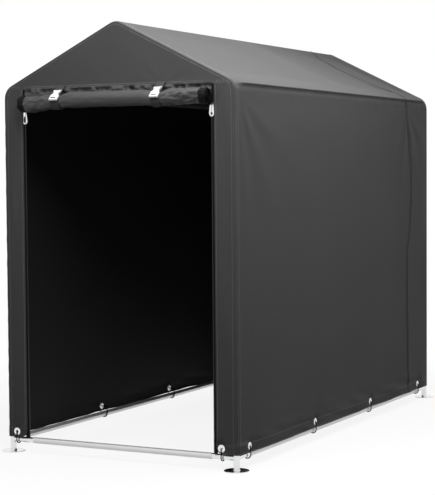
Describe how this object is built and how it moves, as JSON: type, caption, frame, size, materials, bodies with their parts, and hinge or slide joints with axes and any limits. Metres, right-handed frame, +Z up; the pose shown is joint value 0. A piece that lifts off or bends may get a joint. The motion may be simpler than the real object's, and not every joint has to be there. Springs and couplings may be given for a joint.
{
  "type": "bike shelter",
  "caption": "Free-standing gabled fabric shelter on a frame of steel tubes with round feet, its zipped front door rolled up under the gable and held by buckled straps.",
  "frame": {"origin": "on the ground, in the middle of the box around the whole shelter", "axes": "front door faces -Y, +X to the right of someone who looks at the front, +Z up"},
  "size_m": [1.14, 2.2787, 1.7561],
  "materials": {
    "steel_tube": "light grey coated steel tube, satin",
    "steel_fitting": "light grey coated steel, satin",
    "galvanised_feet": "bright zinc-coated steel, semi-gloss",
    "cover_fabric": "dark grey coated woven cloth, matt outside, near black inside",
    "door_fabric": "dark grey coated woven cloth, rolled",
    "zip_tape": "black zip tape",
    "zip_metal": "bright plated metal",
    "webbing": "dark grey woven webbing",
    "buckle_plastic": "white moulded plastic, glossy",
    "eyelet_metal": "bright pressed metal",
    "elastic_cord": "black braided elastic cord"
  },
  "bodies": {
    "root": {"back_wall": "cover_fabric", "bottom_rail_front": "steel_tube", "bottom_rail_left": "steel_tube", "bottom_rail_rear": "steel_tube", "bottom_rail_right": "steel_tube", "buckle_left": "buckle_plastic", "buckle_right": "buckle_plastic", "eave_corner_front_left": "steel_fitting", "eave_corner_front_right": "steel_fitting", "eave_corner_rear_left": "steel_fitting", "eave_corner_rear_right": "steel_fitting", "eave_rail_left": "steel_tube", "eave_rail_right": "steel_tube", "eave_tee_left": "steel_fitting", "eave_tee_right": "steel_fitting", "elastic_loops_front": "elastic_cord", "elastic_loops_left": "elastic_cord", "elastic_loops_rear": "elastic_cord", "elastic_loops_right": "elastic_cord", "eyelets_front": "eyelet_metal", "eyelets_left": "eyelet_metal", "eyelets_rear": "eyelet_metal", "eyelets_right": "eyelet_metal", "foot_front_left": "galvanised_feet", "foot_front_right": "galvanised_feet", "foot_rear_left": "galvanised_feet", "foot_rear_right": "galvanised_feet", "front_gable": "cover_fabric", "front_strip_left": "cover_fabric", "front_strip_right": "cover_fabric", "post_front_left": "steel_tube", "post_front_right": "steel_tube", "post_rear_left": "steel_tube", "post_rear_right": "steel_tube", "rafters_left": "steel_tube", "rafters_right": "steel_tube", "rear_band_roof_left": "cover_fabric", "rear_band_roof_right": "cover_fabric", "rear_band_wall_left": "cover_fabric", "rear_band_wall_right": "cover_fabric", "ridge_cross": "steel_fitting", "ridge_end_front": "steel_fitting", "ridge_end_rear": "steel_fitting", "ridge_rail": "steel_tube", "roll_strap_left": "webbing", "roll_strap_right": "webbing", "rolled_door": "door_fabric", "roof_left": "cover_fabric", "roof_right": "cover_fabric", "wall_left": "cover_fabric", "wall_right": "cover_fabric", "zip_pull_left": "zip_metal", "zip_pull_right": "zip_metal", "zip_tape_left": "zip_tape", "zip_tape_right": "zip_tape"}
  },
  "joints": []
}
